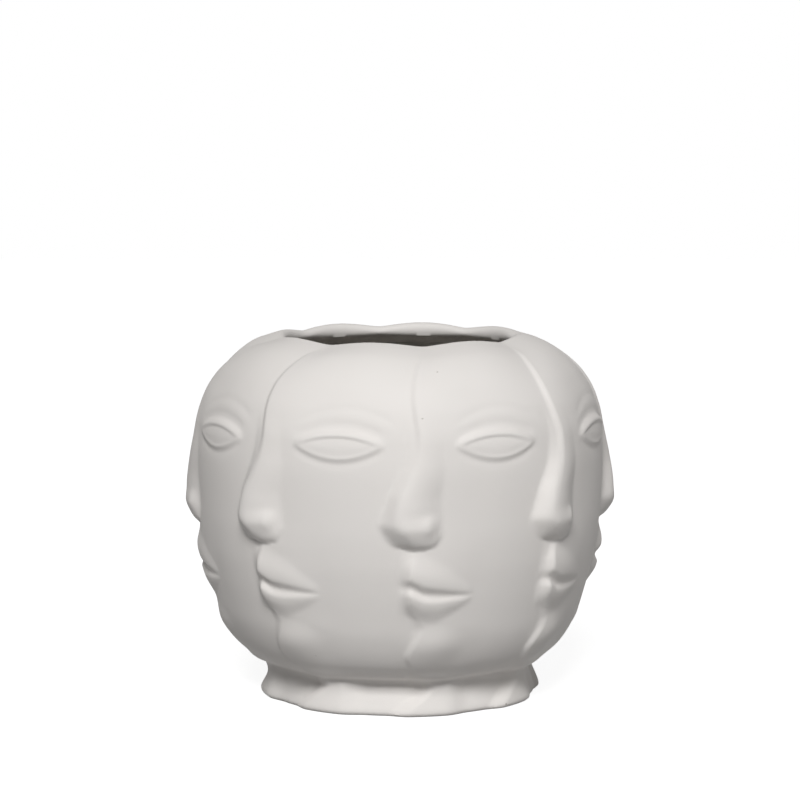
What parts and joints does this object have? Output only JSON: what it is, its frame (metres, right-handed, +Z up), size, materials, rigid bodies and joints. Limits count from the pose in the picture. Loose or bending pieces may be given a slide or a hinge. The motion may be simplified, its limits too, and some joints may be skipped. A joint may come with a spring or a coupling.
{
  "type": "face vase",
  "caption": "Round ceramic vase with a ring of overlapping faces in relief, a scalloped rim, a hollow bowl and a short flared foot",
  "frame": {"origin": "centre of the foot ring's resting plane, on the vase's axis", "axes": "+Z up along the vase's axis; -Y towards the front, where one nose faces the camera; +X to the right of that view"},
  "size_m": [0.1816, 0.1816, 0.1521],
  "materials": {
    "bisque": "matte",
    "glaze": "gloss"
  },
  "bodies": {
    "root": {"vase_body": "bisque", "inner_glaze": "glaze"}
  },
  "joints": []
}
